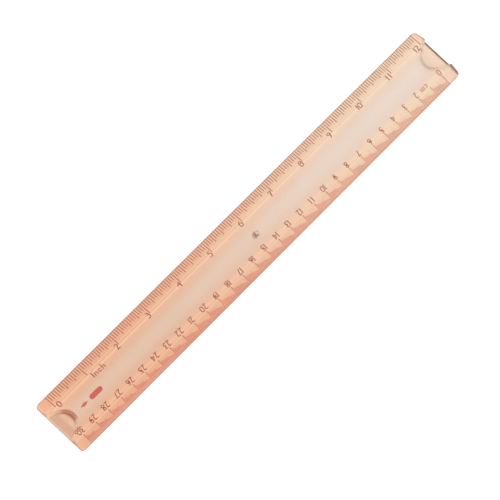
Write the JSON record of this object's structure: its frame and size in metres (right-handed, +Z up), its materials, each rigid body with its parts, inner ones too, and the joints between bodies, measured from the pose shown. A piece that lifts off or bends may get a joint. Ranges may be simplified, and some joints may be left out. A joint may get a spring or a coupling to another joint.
{
  "type": "desk ruler",
  "caption": "Clear tinted plastic desk ruler with sloping edges, a raised flat middle, thumb scoops in both ends and inch and centimetre scales printed underneath.",
  "frame": {"origin": "centre of the underside, at the level of the printed ink that the ruler rests on", "axes": "+X along the ruler from the 0 inch end to the 12 inch end, +Y towards the inch edge, +Z up out of the raised face"},
  "size_m": [0.316, 0.034, 0.0036],
  "materials": {
    "tinted_clear_plastic": "clear salmon-tinted polystyrene, glossy, with a faint haze over the flat middle",
    "dark_red_ink": "screen-printed dark red-brown ink",
    "bright_red_ink": "screen-printed bright red ink"
  },
  "bodies": {
    "root": {"ruler_body": "tinted_clear_plastic", "inch_graduations": "dark_red_ink", "cm_graduations": "dark_red_ink", "inch_label": "dark_red_ink", "cm_label": "dark_red_ink", "printed_bar": "bright_red_ink", "printed_diamond": "dark_red_ink", "inch_numeral_00": "dark_red_ink", "inch_numeral_02": "dark_red_ink", "inch_numeral_03": "dark_red_ink", "inch_numeral_04": "dark_red_ink", "inch_numeral_05": "dark_red_ink", "inch_numeral_06": "dark_red_ink", "inch_numeral_07": "dark_red_ink", "inch_numeral_08": "dark_red_ink", "inch_numeral_09": "dark_red_ink", "inch_numeral_10": "dark_red_ink", "inch_numeral_11": "dark_red_ink", "inch_numeral_12": "dark_red_ink", "cm_numeral_00": "dark_red_ink", "cm_numeral_02": "dark_red_ink", "cm_numeral_03": "dark_red_ink", "cm_numeral_04": "dark_red_ink", "cm_numeral_05": "dark_red_ink", "cm_numeral_06": "dark_red_ink", "cm_numeral_07": "dark_red_ink", "cm_numeral_08": "dark_red_ink", "cm_numeral_09": "dark_red_ink", "cm_numeral_10": "dark_red_ink", "cm_numeral_11": "dark_red_ink", "cm_numeral_12": "dark_red_ink", "cm_numeral_13": "dark_red_ink", "cm_numeral_14": "dark_red_ink", "cm_numeral_15": "dark_red_ink", "cm_numeral_16": "dark_red_ink", "cm_numeral_17": "dark_red_ink", "cm_numeral_18": "dark_red_ink", "cm_numeral_19": "dark_red_ink", "cm_numeral_20": "dark_red_ink", "cm_numeral_21": "dark_red_ink", "cm_numeral_22": "dark_red_ink", "cm_numeral_23": "dark_red_ink", "cm_numeral_24": "dark_red_ink", "cm_numeral_25": "dark_red_ink", "cm_numeral_26": "dark_red_ink", "cm_numeral_27": "dark_red_ink", "cm_numeral_28": "dark_red_ink", "cm_numeral_29": "dark_red_ink", "cm_numeral_30": "dark_red_ink"}
  },
  "joints": []
}
